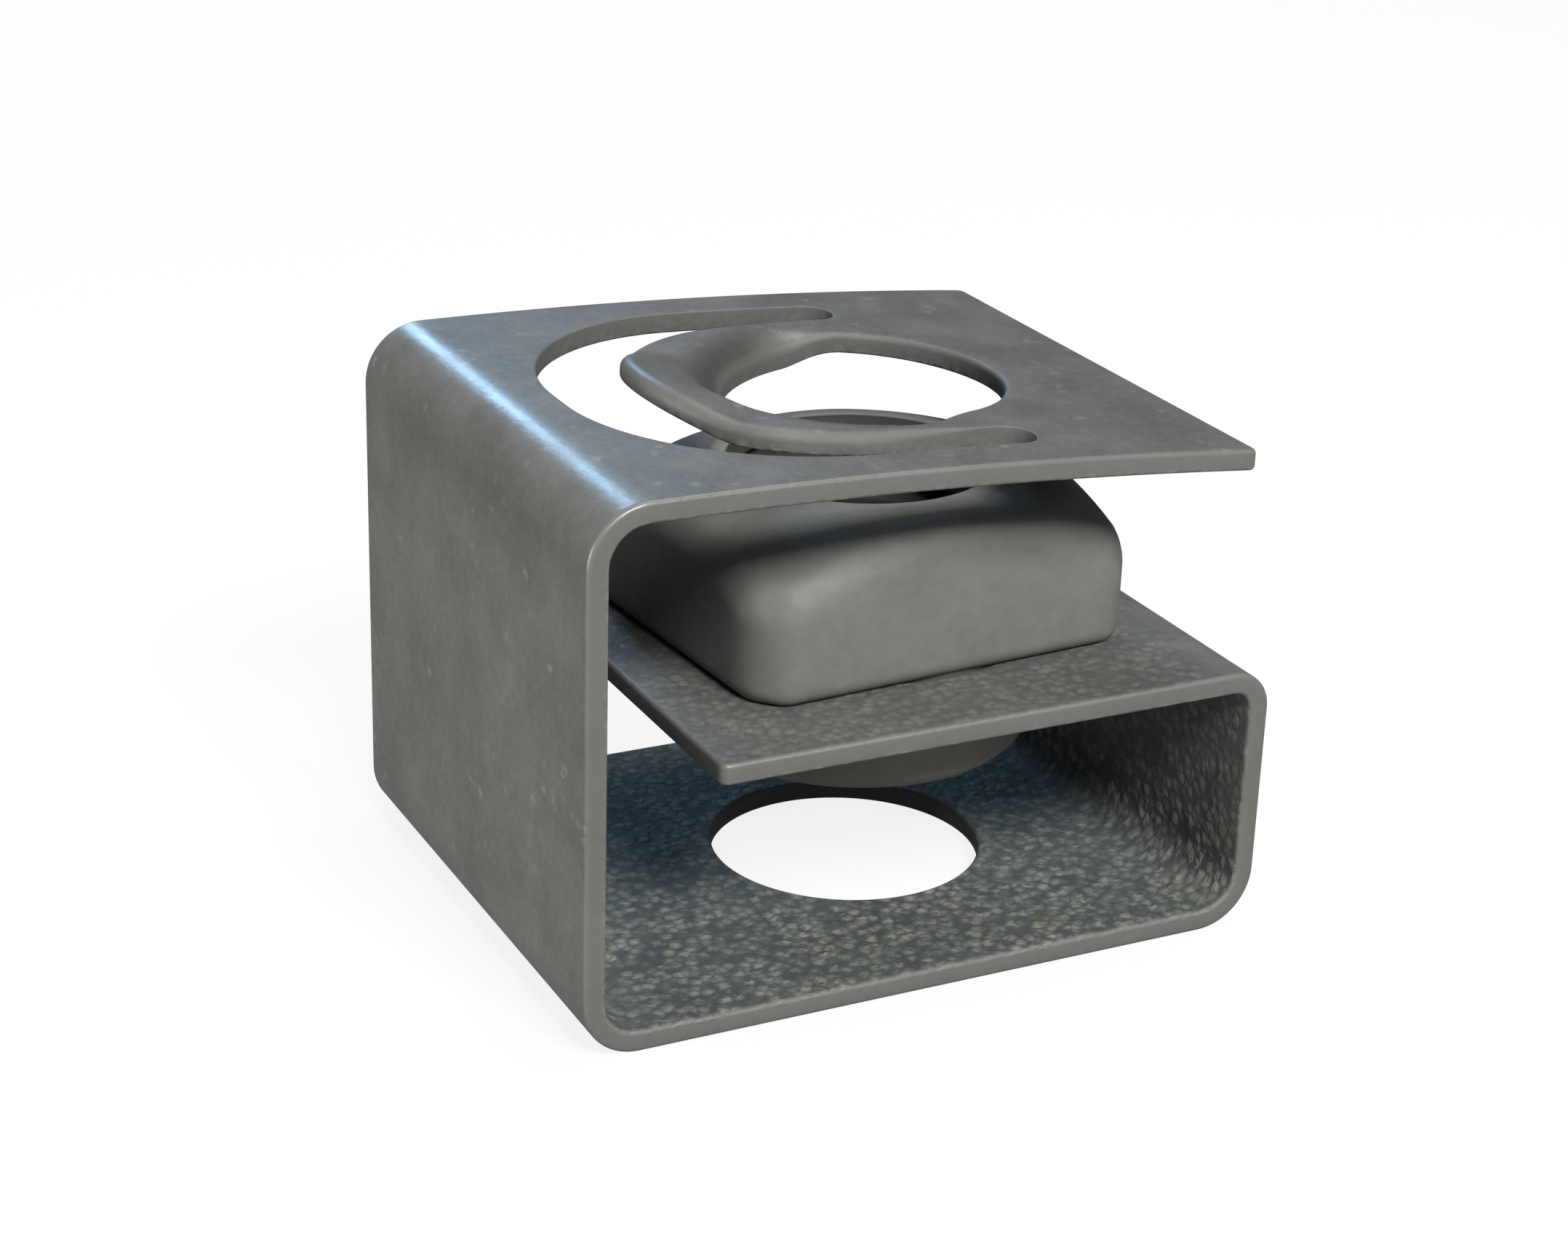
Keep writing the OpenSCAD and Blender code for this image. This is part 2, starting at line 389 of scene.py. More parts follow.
def slot_roundings(slot):
    """The rounding of the slot's upper edge at each of its points: softer on the tongue's tip."""
    from_middle = np.hypot(np.minimum(slot[:, 0] - TONGUE_X, 0), slot[:, 1])
    on_tongue = from_middle < TONGUE_R + ON_OUTLINE
    to_tip = np.clip((TIP_ROUND_X - slot[:, 0]) / TIP_ROUND_RUN, 0, 1) * on_tongue
    return SLOT_EDGE_R + (TIP_EDGE_R - SLOT_EDGE_R) * to_tip


def row_places():
    """Where rows of points cross the strip: close together on the roof and the bends."""
    zones = [
        (0, ROOF_BEND_AT, ROOF_GAP),
        (ROOF_BEND_AT, BACK_AT, BEND_GAP),
        (BACK_AT, FLOOR_BEND_AT, WALL_GAP),
        (FLOOR_BEND_AT, FLOOR_AT, BEND_GAP),
        (FLOOR_AT, FRONT_BEND_AT, FLAT_GAP),
        (FRONT_BEND_AT, FRONT_AT, BEND_GAP),
        (FRONT_AT, SHELF_BEND_AT, WALL_GAP),
        (SHELF_BEND_AT, SHELF_AT, SHELF_BEND_GAP),
        (SHELF_AT, BLANK_L, FLAT_GAP),
    ]
    rows = [np.linspace(a, b, math.ceil((b - a) / gap), endpoint=False) for a, b, gap in zones]
    return np.append(np.concatenate(rows), BLANK_L)


def rim_loop(rows):
    """The blank's own outline, with points on every row so that the bends stay smooth."""
    half, r = STRIP_W / 2, BLANK_CORNER_R
    right, left = flat_x(0), flat_x(BLANK_L)
    room = r * CORNER_ROOM
    inner = flat_x(rows[(rows > room) & (rows < BLANK_L - room)])
    near = np.column_stack([inner, 0 * inner - half, 0 * inner, 0 * inner + 1])
    far = np.column_stack([inner[::-1], 0 * inner + half, 0 * inner, 0 * inner - 1])
    return np.vstack(
        [
            near,
            arc(left + r, r - half, r, -QUARTER, -2 * QUARTER, -1, CORNER_GAP),
            line((left, r - half), (left, half - r), (1, 0), SHELF_END_GAP),
            arc(left + r, half - r, r, 2 * QUARTER, QUARTER, -1, CORNER_GAP),
            far,
            arc(right - r, half - r, r, QUARTER, 0, -1, CORNER_GAP),
            line((right, half - r), (right, r - half), (-1, 0), ROOF_GAP),
            arc(right - r, r - half, r, 0, -QUARTER, -1, CORNER_GAP),
        ]
    )


def rounding(radius, turn):
    """A place on a rounding: how far in from the edge, how far from the face, and how much cut shows."""
    return radius * (1 - math.sin(turn)), radius * (1 - math.cos(turn)), min(CUT_START + CUT_GAIN * turn, 1)


def edge_rings(loop, top_r, low_r):
    """Rings of (x, y, height, cut) down an edge: flat, rounding, sheared wall, rounding, flat."""
    half = SHEET_T / 2
    top_r, low_r = top_r + 0 * loop[:, 0], low_r + 0 * loop[:, 0]
    turns = np.linspace(0, QUARTER, EDGE_RINGS)
    places = [(top_r + FLAT_MARGIN, half, 0.0)]
    for turn in turns:
        inset, drop, cut = rounding(top_r, turn)
        places.append((inset, half - drop, cut))
    for turn in turns[::-1]:
        inset, drop, cut = rounding(low_r, turn)
        places.append((inset, drop - half, cut))
    places.append((low_r + FLAT_MARGIN, -half, 0.0))
    return [
        np.column_stack([loop[:, :2] + inset[:, None] * loop[:, 2:], height + 0 * inset, cut + 0 * inset])
        for inset, height, cut in places
    ]


def in_holes(points, loops):
    """Which points lie inside any of the closed loops."""
    hit = np.zeros(len(points), bool)
    for loop in loops:
        inside = np.zeros(len(points), bool)
        for (x0, y0), (x1, y1) in zip(loop[:, :2], np.roll(loop[:, :2], -1, 0)):
            if y0 != y1:
                across = (points[:, 1] < y0) != (points[:, 1] < y1)
                inside ^= across & (points[:, 0] < x0 + (points[:, 1] - y0) * (x1 - x0) / (y1 - y0))
        hit |= inside
    return hit


def sheet_points(rows, loops):
    """Grid points on the sheet that keep clear of every edge."""
    points = []
    for i, along in enumerate(rows):
        step = rows[min(i + 1, len(rows) - 1)] - rows[min(i, len(rows) - 2)]
        gap = max(ROOF_GAP, min(WALL_GAP, GRID_STRETCH * step))
        across = np.linspace(-STRIP_W / 2, STRIP_W / 2, round(STRIP_W / gap) + 1)
        points.append(np.column_stack([np.full(len(across), flat_x(along)), across]))
    points = np.vstack(points)
    points = points[~in_holes(points, loops[1:])]
    edge = np.vstack([loop[:, :2] for loop in loops])
    clear = np.full(len(points), np.inf)
    for part in np.array_split(edge, EDGE_BATCHES):
        gap = np.hypot(points[:, None, 0] - part[None, :, 0], points[:, None, 1] - part[None, :, 1])
        clear = np.minimum(clear, gap.min(1))
    return points[clear > EDGE_CLEAR]


def face_triangles(rows, rings):
    """Joins one face's edge rings and its grid points; the holes stay open."""
    grid = sheet_points(rows, rings)
    flat = [ring[:, :2] for ring in rings]
    points = np.vstack(flat + [grid])
    edges, start = [], 0
    for ring in flat:
        size = len(ring)
        edges += [(start + i, start + (i + 1) % size) for i in range(size)]
        start += size
    found = delaunay_2d_cdt([Vector(p) for p in points], edges, [], INSIDE_OUTLINE, MERGE_GAP)
    places, triangles = np.array([tuple(p) for p in found[0]]), np.array(found[2])
    solid = triangles[~in_holes(places[triangles].mean(1), flat[1:])]
    return places, solid.tolist(), found[3], start


def edge_skin(ringed):
    """Points and faces down every edge, and the number at which each ring's points start."""
    points, faces, ring_starts = [], [], []
    for rings in ringed:
        starts = []
        for ring in rings:
            starts.append(len(points))
            points += ring.tolist()
        size = len(rings[0])
        for a, b in zip(starts, starts[1:]):
            for i in range(size):
                j = (i + 1) % size
                faces.append((a + i, a + j, b + j, b + i))
        ring_starts.append(starts)
    return points, faces, ring_starts


def blank_skin(rows, ringed):
    """Points and faces of the closed blank: its edges first, then its upper and lower face."""
    points, faces, ring_starts = edge_skin(ringed)
    for side, height in ((0, SHEET_T / 2), (-1, -SHEET_T / 2)):
        places, triangles, origins, ring_count = face_triangles(rows, [rings[side] for rings in ringed])
        ring_ids = []
        for starts, rings in zip(ring_starts, ringed):
            ring_ids += [starts[side] + i for i in range(len(rings[side]))]
        ids = []
        for place, origin in zip(places, origins):
            on_ring = [o for o in origin if o < ring_count]
            if on_ring:
                ids.append(ring_ids[on_ring[0]])
            else:
                ids.append(len(points))
                points.append([place[0], place[1], height, 0.0])
        faces += [tuple(ids[i] for i in triangle) for triangle in triangles]
    return np.array(points), faces


# What the blank's points carry for the fold and the finish

# The tongue's own points end this far past the slot
TONGUE_PAST_SLOT = 6.0

# The sheared edge is rubbed smoother on the tongue's tip: where it ends, over what run, what stays
TIP_WORN_X = -10.0
TIP_WORN_RUN = 4.0
TIP_WORN_SHARE = 0.6

# The finish changes over this run where a wall begins
WALL_FADE = 2.0

# The inner face's look starts this share of the sheet's thickness below its middle
INNER_START = 0.25

# Crystals inside: what the front lacks of them, and how many the shelf's upper face has
FRONT_LACK = 0.4
SHELF_TOP_SHARE = 0.45

# Painted shade round the hole on the tongue and along the roof's bend, and a darker tone on the shelf
HOLE_SHADE_REACH = 2.2
HOLE_SHADE_FADE = 1.2
HOLE_SHADE_X = 0.5
HOLE_SHADE_RUN = 3.5
SHELF_DARK = 0.4
BEND_SHADE = 0.3
BEND_SHADE_REACH = 3.0


def past(along, start):
    """0 before a place along the strip, and 1 once past it."""
    return np.clip((along - start) / WALL_FADE, 0, 1)


def mark_blank(mesh, points, on_rim):
    """Puts on the blank's points what the fold and the finish read."""
    x, y, height, cut = points.T
    along = ROOF_END_X - x
    margin = TONGUE_R + SLOT_W / 2
    on_tongue = np.where(
        x < TONGUE_X,
        np.hypot(x - TONGUE_X, y) < margin,
        (np.abs(y) < margin) & (x < SLOT_PAST_BOLT + TONGUE_PAST_SLOT),
    )
    give(mesh, "along", along * MM)
    give(mesh, "tongue", on_tongue.astype(float))
    give(mesh, "cut", cut * on_rim)
    unworn = np.where(on_tongue, np.clip((x - TIP_WORN_X) / TIP_WORN_RUN, TIP_WORN_SHARE, 1), 1)
    give(mesh, "sheared", cut * (1 - on_rim) * unworn)
    on_shelf = past(along, SHELF_AT)
    on_front = np.clip(past(along, FRONT_AT) - on_shelf, 0, 1)
    inner_face = np.clip(-height / SHEET_T / INNER_START - 1, 0, 1)
    inner_face *= 1 - FRONT_LACK * on_front
    give(mesh, "inside", np.maximum(inner_face, SHELF_TOP_SHARE * on_shelf * (1 - cut)))
    # The last mask is painted shade on the tongue round the hole's side towards the tip and along the roof's
    # bend, and a darker tone on the shelf
    hole_gap = np.hypot(x, y) - BOLT_HOLE_R
    by_hole = np.clip((HOLE_SHADE_REACH - hole_gap) / HOLE_SHADE_FADE, 0, 1)
    by_hole *= np.clip((HOLE_SHADE_X - x) / HOLE_SHADE_RUN, 0, 1)
    on_bend = np.clip(1 - np.abs(along - BACK_AT) / BEND_SHADE_REACH, 0, 1)
    give(mesh, "shade_and_dark", by_hole * on_tongue + SHELF_DARK * on_shelf + BEND_SHADE * on_bend)


def make_blank():
    """The flat blank as one closed mesh, with what the fold and the finish need on its points."""
    rows = row_places()
    slot = slot_loop()
    loops = [
        (rim_loop(rows), STRIP_EDGE_R, STRIP_EDGE_R),
        (slot, slot_roundings(slot), BURR_EDGE_R),
        (hole_loop(ROOF_END_X, BOLT_HOLE_R), HOLE_EDGE_R, BURR_EDGE_R),
        (hole_loop(FLOOR_HOLE_AT, BOLT_HOLE_R), BURR_EDGE_R, BURR_EDGE_R),
        (hole_loop(SHELF_HOLE_AT, BARREL_R + BARREL_GAP), SLOT_EDGE_R, BURR_EDGE_R),
    ]
    ringed = [edge_rings(*loop) for loop in loops]
    points, faces = blank_skin(rows, ringed)
    mesh = bpy.data.meshes.new("clip_blank")
    mesh.from_pydata(np.column_stack([points[:, :2], points[:, 2] + LEVEL]) * MM, [], faces)
    tidy_normals(mesh)
    rim_count = sum(len(ring) for ring in ringed[0])
    on_rim = (np.arange(len(points)) < rim_count).astype(float)
    mark_blank(mesh, points, on_rim)
    return mesh


# The trees that shape the clip

BEND_SIZES = ["Bend line", "Bend radius", "Roof end", "Level"]
PRESS_SIZES = [
    "Bow start",
    "Bow radius",
    "Dome place",
    "Dome rise",
    "Dome reach",
    "Dome blend",
    "Hole radius",
    "Dish level",
    "Dish slope",
    "Dish lean",
    "Dish foot",
    "Dish blend",
    "Dish fades from",
    "Dish fades to",
]


def strip_tree(name, sizes):
    """An empty tree that takes a strip and its sizes, and gives a strip."""
    inputs = [("Strip", GEOMETRY)] + [(size, FLOAT) for size in sizes]
    return new_tree(name, "GeometryNodeTree", inputs, [("Strip", GEOMETRY)])


def bend_tree():
    """Folds what lies past a bend line a quarter turn down, round a bend of the given radius."""
    tree, given, result = strip_tree("bend_strip", BEND_SIZES)
    get = given.outputs
    at, radius = get["Bend line"], get["Bend radius"]
    beyond = calc(tree, "MAXIMUM", calc(tree, "SUBTRACT", point_value(tree, "along"), at), 0.0)
    shift = calc(tree, "MINIMUM", beyond, calc(tree, "MULTIPLY", radius, QUARTER))
    turn = calc(tree, "MULTIPLY", calc(tree, "DIVIDE", shift, radius), -1.0)
    centre_x = calc(tree, "SUBTRACT", get["Roof end"], at)
    centre_z = calc(tree, "SUBTRACT", get["Level"], radius)
    slid = put(
        tree,
        "ShaderNodeVectorMath",
        {0: point_place(tree), 1: vector(tree, X=shift)},
        operation="ADD",
    )
    turned = put(
        tree,
        "ShaderNodeVectorRotate",
        {"Vector": slid.outputs[0], "Center": vector(tree, X=centre_x, Z=centre_z), "Angle": turn},
        rotation_type="Y_AXIS",
    )
    moved = put(tree, "GeometryNodeSetPosition", {"Geometry": get["Strip"], "Position": turned.outputs[0]})
    tree.links.new(moved.outputs[0], result.inputs["Strip"])
    return tree


def roof_tree():
    """Bows the roof, raises the tongue's domed tip and dishes the tongue towards the hole."""
    tree, given, result = strip_tree("press_roof", PRESS_SIZES)
    get = given.outputs
    place = axes_of(tree, point_place(tree))
    run = calc(tree, "MAXIMUM", calc(tree, "SUBTRACT", place["X"], get["Bow start"]), 0.0)
    bow_squared = calc(tree, "MULTIPLY", get["Bow radius"], get["Bow radius"])
    bow_height = calc(tree, "SQRT", calc(tree, "SUBTRACT", bow_squared, calc(tree, "MULTIPLY", run, run)))
    sag = calc(tree, "SUBTRACT", bow_height, get["Bow radius"])
    from_dome = calc(tree, "DIVIDE", calc(tree, "SUBTRACT", place["X"], get["Dome place"]), get["Dome reach"])
    across = calc(tree, "DIVIDE", place["Y"], get["Dome reach"])
    spread = calc(tree, "MULTIPLY_ADD", from_dome, from_dome, calc(tree, "MULTIPLY", across, across))
    sphere = calc(tree, "MULTIPLY", get["Dome rise"], calc(tree, "SUBTRACT", 1.0, spread))
    cap = calc(tree, "SMOOTH_MAX", sphere, 0.0, get["Dome blend"])
    flat = vector(tree, X=place["X"], Y=place["Y"])
    bolt_gap = put(tree, "ShaderNodeVectorMath", {0: flat}, operation="LENGTH").outputs["Value"]
    foot = calc(tree, "MULTIPLY", get["Dish foot"], -1.0)
    rim_gap = calc(tree, "MAXIMUM", calc(tree, "SUBTRACT", bolt_gap, get["Hole radius"]), foot)
    cone = calc(tree, "MULTIPLY_ADD", rim_gap, get["Dish slope"], get["Dish level"])
    cone = calc(tree, "MULTIPLY_ADD", place["X"], get["Dish lean"], cone)
    over = calc(tree, "SUBTRACT", calc(tree, "ADD", sag, cap), cone)
    fade = span(tree, place["X"], get["Dish fades from"], get["Dish fades to"], 1.0, 0.0)
    dish = calc(tree, "MULTIPLY", calc(tree, "SMOOTH_MAX", over, 0.0, get["Dish blend"]), fade)
    shaped = calc(tree, "MULTIPLY", calc(tree, "SUBTRACT", cap, dish), point_value(tree, "tongue"))
    lift = vector(tree, Z=calc(tree, "ADD", sag, shaped))
    moved = put(tree, "GeometryNodeSetPosition", {"Geometry": get["Strip"], "Offset": lift})
    tree.links.new(moved.outputs[0], result.inputs["Strip"])
    return tree


def clip_tree():
    """The whole clip from its blank: the roof is pressed, then the last bend is folded first."""
    inputs = [("Strip", GEOMETRY), ("Roof end", FLOAT), ("Level", FLOAT), ("Steel", MATERIAL)]
    inputs += [(size, FLOAT) for size in PRESS_SIZES]
    for bend in BENDS:
        inputs += [(bend + " bend line", FLOAT), (bend + " bend radius", FLOAT)]
    tree, given, result = new_tree("fold_clip", "GeometryNodeTree", inputs, [("Clip", GEOMETRY)])
    get = given.outputs
    pressing = {name: get[name] for name in ["Strip"] + PRESS_SIZES}
    strip = put(tree, "GeometryNodeGroup", pressing, node_tree=roof_tree()).outputs[0]
    fold = bend_tree()
    for bend in reversed(BENDS):
        folding = {
            "Strip": strip,
            "Bend line": get[bend + " bend line"],
            "Bend radius": get[bend + " bend radius"],
            "Roof end": get["Roof end"],
            "Level": get["Level"],
        }
        strip = put(tree, "GeometryNodeGroup", folding, node_tree=fold).outputs[0]
    finish_tree(tree, strip, get["Steel"], result)
    return tree


def make_clip(steel):
    """The folded clip's mesh, from its blank and its named sizes."""
    lengths = {
        "Roof end": ROOF_END_X,
        "Level": LEVEL,
        "Bow start": ROOF_START_X,
        "Bow radius": BOW_R,
        "Dome place": TIP_X - DOME_LEAD,
        "Dome rise": DOME_RISE,
        "Dome reach": DOME_REACH,
        "Dome blend": DOME_BLEND,
        "Hole radius": BOLT_HOLE_R,
        "Dish level": BOLT_SAG - DISH_DROP,
        "Dish foot": DISH_FOOT,
        "Dish blend": DISH_BLEND,
        "Dish fades from": DISH_FULL_X,
        "Dish fades to": SLOT_END_X,
    }
    for bend, (at, outer_r) in BENDS.items():
        lengths[bend + " bend line"] = at
        lengths[bend + " bend radius"] = mid_r(outer_r)
    values = {name: length * MM for name, length in lengths.items()}
    values["Dish slope"] = math.tan(math.radians(DISH_ANGLE))
    values["Dish lean"] = math.tan(math.radians(DISH_LEAN))
    values["Steel"] = steel
    return run_tree(make_blank(), clip_tree(), values)


# The nut

# Its skin is found along rays from a ring inside the metal, by halving their reach again and again
RAY_RING_R = 7.3
RAY_RING_Z = 3.5
RAY_REACH = 12.0
RAY_HALVINGS = 40
SKIN_ROWS = 100
SKIN_COLUMNS = 224

# The skin's base ends this far outside the barrel, and its turned top starts at this radius
BARREL_ROOT = 0.15
TOP_START_R = 6.95


def round_max(a, b, radius):
    """The larger of two distances, with the edge between the two surfaces rounded."""
    a, b = a + radius, b + radius
    return np.minimum(np.maximum(a, b), 0) + np.hypot(np.maximum(a, 0), np.maximum(b, 0)) - radius


def block_distance(x, y, z):
    """How far a point is outside the forged block: sides, worn corners, crown, top and base."""
    out_x = np.abs(x) - NUT_L / 2 + NUT_CORNER_R
    out_y = np.abs(y) - NUT_W / 2 + NUT_CORNER_R
    past_corner = np.hypot(np.maximum(out_x, 0), np.maximum(out_y, 0))
    sides = past_corner + np.minimum(np.maximum(out_x, out_y), 0) - NUT_CORNER_R
    r = np.hypot(x, y)
    run = CROWN_R - CROWN_FLAT_R
    chord = math.hypot(run, CROWN_DROP)
    back = math.sqrt(CROWN_BULGE_R**2 - (chord / 2) ** 2) / chord
    centre_r = (CROWN_R + CROWN_FLAT_R) / 2 - CROWN_DROP * back
    centre_z = NUT_H - CROWN_DROP / 2 - run * back
    crown = np.hypot(r - centre_r, z - centre_z) - CROWN_BULGE_R
    body = round_max(sides, r - NUT_WORN_R, NUT_WORN_ROUND)
    body = round_max(body, crown, NUT_CROWN_ROUND)
    body = round_max(body, z - NUT_H, NUT_TOP_ROUND)
    return round_max(body, -z, NUT_BASE_ROUND)


def block_rows(angles):
    """The block's outer skin as rows of rings, found along rays from a ring inside the metal."""
    lowest = math.atan2(-RAY_RING_Z, BARREL_R + BARREL_ROOT - RAY_RING_R)
    tilts = np.linspace(lowest, QUARTER, SKIN_ROWS)
    tilt, angle = np.meshgrid(tilts, angles, indexing="ij")
    near, far = np.zeros_like(tilt), np.full_like(tilt, RAY_REACH)
    for _ in range(RAY_HALVINGS):
        reach = (near + far) / 2
        r, z = RAY_RING_R + reach * np.cos(tilt), RAY_RING_Z + reach * np.sin(tilt)
        inside = block_distance(r * np.cos(angle), r * np.sin(angle), z) < 0
        near, far = np.where(inside, reach, near), np.where(inside, far, reach)
    return RAY_RING_R + near * np.cos(tilt), RAY_RING_Z + near * np.sin(tilt)


def lathe_rows(section):
    """Points of a turned section: each corner has its radius, its height and the points to the next."""
    rows = []
    for (r0, z0, steps), (r1, z1, _) in zip(section, section[1:]):
        share = np.linspace(0, 1, steps, endpoint=False)
        rows += [(r0 + (r1 - r0) * s, z0 + (z1 - z0) * s) for s in share]
    return np.array(rows)


def turned_section():
    """The turned part of the nut from its top through the bore, round the barrel and up to the base."""
    sink = COUNTERSINK_R - CORE_R
    low = -BARREL_L
    chamfer_r = BARREL_R - BARREL_CHAMFER
    chamfer_z = low + BARREL_CHAMFER
    return [
        (TOP_START_R, NUT_H, 3),
        (COUNTERSINK_R + LATHE_SOFT, NUT_H, 2),
        (COUNTERSINK_R - LATHE_CUT, NUT_H - LATHE_CUT, 12),
        (CORE_R, NUT_H - sink, 100),
        (CORE_R, low + sink, 12),
        (COUNTERSINK_R - LATHE_CUT, low + LATHE_CUT, 2),
        (COUNTERSINK_R + LATHE_SOFT, low, 4),
        (chamfer_r - LATHE_SOFT, low, 2),
        (chamfer_r + LATHE_CUT, low + LATHE_CUT, 4),
        (BARREL_R - LATHE_CUT, chamfer_z - LATHE_CUT, 2),
        (BARREL_R, chamfer_z + LATHE_SOFT, 12),
        (BARREL_R, 0.0, 0),
    ]


def make_nut_body():
    """The nut as one closed skin of rings: block, crown, countersinks, plain bore and barrel."""
    angles = np.linspace(0, 2 * math.pi, SKIN_COLUMNS, endpoint=False)
    outer_r, outer_z = block_rows(angles)
    inner = lathe_rows(turned_section())
    r = np.vstack([outer_r, np.repeat(inner[:, :1], SKIN_COLUMNS, 1)])
    z = np.vstack([outer_z, np.repeat(inner[:, 1:], SKIN_COLUMNS, 1)])
    points = np.stack([r * np.cos(angles), r * np.sin(angles), z], 2).reshape(-1, 3)
    faces = []
    for i in range(len(r)):
        row, next_row = i * SKIN_COLUMNS, (i + 1) % len(r) * SKIN_COLUMNS
        for j in range(SKIN_COLUMNS):
            k = (j + 1) % SKIN_COLUMNS
            faces.append((row + j, row + k, next_row + k, next_row + j))
    mesh = bpy.data.meshes.new("nut_body")
    mesh.from_pydata(points * MM, [], faces)
    tidy_normals(mesh)
    give(mesh, "bore", (r < COUNTERSINK_R).ravel())
    return mesh


def thread_tree():
    """Cuts a right-hand thread into the bore's wall, then sets the nut in its place on the shelf."""
    sizes = ["Pitch", "Core radius", "Thread radius", "Seat height", "Turn"]
    inputs = [("Nut", GEOMETRY), ("Steel", MATERIAL)] + [(size, FLOAT) for size in sizes]
    tree, given, result = new_tree("cut_thread", "GeometryNodeTree", inputs, [("Nut", GEOMETRY)])
    get = given.outputs
    place = axes_of(tree, point_place(tree))
    turns_up = calc(tree, "DIVIDE", place["Z"], get["Pitch"])
    turns_round = calc(tree, "DIVIDE", calc(tree, "ARCTAN2", place["Y"], place["X"]), 2 * math.pi)
    phase = calc(tree, "FLOORED_MODULO", calc(tree, "SUBTRACT", turns_up, turns_round), 1.0)
    from_root = calc(tree, "ABSOLUTE", calc(tree, "SUBTRACT", phase, 0.5))
    depth = span(tree, from_root, ROOT_END, FLANK_END, 1.0, 0.0, smooth=False)
    groove = calc(tree, "SUBTRACT", get["Thread radius"], get["Core radius"])
    cut_r = calc(tree, "MULTIPLY_ADD", depth, groove, get["Core radius"])
    x_squared = calc(tree, "MULTIPLY", place["X"], place["X"])
    y_squared = calc(tree, "MULTIPLY", place["Y"], place["Y"])
    radius = calc(tree, "SQRT", calc(tree, "ADD", x_squared, y_squared))
    grow = calc(tree, "DIVIDE", calc(tree, "MAXIMUM", cut_r, radius), radius)
    cut_x = calc(tree, "MULTIPLY", place["X"], grow)
    cut_y = calc(tree, "MULTIPLY", place["Y"], grow)
    in_bore = put(
        tree,
        "FunctionNodeCompare",
        {0: point_value(tree, "bore"), 1: 0.5},
        operation="GREATER_THAN",
    )
    cut = put(
        tree,
        "GeometryNodeSetPosition",
        {
            "Geometry": get["Nut"],
            "Selection": in_bore.outputs[0],
            "Position": vector(tree, X=cut_x, Y=cut_y, Z=place["Z"]),
        },
    )
    seated = put(
        tree,
        "GeometryNodeTransform",
        {
            "Geometry": cut.outputs[0],
            "Translation": vector(tree, Z=get["Seat height"]),
            "Rotation": vector(tree, Z=get["Turn"]),
        },
    )
    finish_tree(tree, seated.outputs[0], get["Steel"], result)
    return tree


def make_nut(steel):
    """The threaded nut's mesh, in its place on the shelf."""
    values = {
        "Pitch": THREAD_PITCH * MM,
        "Core radius": CORE_R * MM,
        "Thread radius": THREAD_R * MM,
        "Seat height": SHELF_H * MM,
        "Turn": math.radians(NUT_TURN),
        "Steel": steel,
    }
    return run_tree(make_nut_body(), thread_tree(), values)


# Finishes

# The crystals' patches and stir, each against the crystals' own scale, and how far patches count
PATCH_SCALE = 0.22
STIR_SCALE = 1.5
PATCH_GAIN = 1.2

# A crystal's full middle and its rim, the chance at which it is brightest, and its least height
LUMP_MIDDLE = 0.1
LUMP_RIM = 0.85
BRIGHTEST = 1.3
LEAST_HEIGHT = 0.3

# The clip's colours: its coat, the pale flecks in it, the painted shade that also darkens the shelf, and
# where it is cut or sheared
COAT_DARK = (0.12, 0.12, 0.116, 1)
COAT_PALE = (0.2, 0.2, 0.193, 1)
FLECK = (0.32, 0.32, 0.305, 1)
SHADE_AND_DARK = (0.06, 0.061, 0.058, 1)
CUT = (0.172, 0.172, 0.16, 1)
SHEARED = (0.115, 0.115, 0.111, 1)
CUT_COVER = 0.75
SHEARED_COVER = 0.8

# The clip's colours inside: the bed between the crystals, and the crystals
BED_DARK = (0.045, 0.053, 0.056, 1)
BED_PALE = (0.085, 0.094, 0.094, 1)
CRYSTAL = (0.27, 0.28, 0.24, 1)

# The scales and strengths of the clip's patterns
CLIP_MOTTLE = {"Cloud scale": 240.0, "Fine scale": 2600.0}
CLIP_CRYSTALS = {"Grain scale": 1900.0, "Share": 1.1, "Least": 0.15}
CLIP_FLECKS = {"Grain scale": 2000.0, "Share": 0.02, "Least": 0.0}
CLIP_CLOUD_GAIN = 1.3
CLIP_FINE_GAIN = 0.8

# The clip's roughness, and what each mask adds to it
CLIP_ROUGH = 0.34
CLIP_CLOUD_ROUGH = 0.2
SHEARED_ROUGH = 0.35
SHADE_AND_DARK_ROUGH = 0.25
INSIDE_ROUGH = 0.35

# The clip's metal and gloss, and its bump: crystals outside, what they gain inside, fine streaks
CLIP_METAL = 0.25
CLIP_GLOSS = 0.3
OUTSIDE_BUMP = 0.05
INSIDE_BUMP = 1.5
FINE_BUMP = 0.3
CLIP_BUMP = {"Strength": 0.7, "Distance": 0.07 * MM}

# The nut's satin, and the painted shade in its bore and countersinks
NUT_DARK = (0.138, 0.141, 0.132, 1)
NUT_PALE = (0.2, 0.204, 0.19, 1)
BORE_SHADE = (0.03, 0.03, 0.028, 1)
NUT_MOTTLE = {"Cloud scale": 420.0, "Fine scale": 1800.0}
NUT_CLOUD_GAIN = 0.9
NUT_FINE_GAIN = 0.7
NUT_ROUGH = 0.68
NUT_CLOUD_ROUGH = 0.15
NUT_METAL = 0.15
NUT_GLOSS = 0.25
NUT_BUMP = {"Strength": 0.3, "Distance": 0.03 * MM}


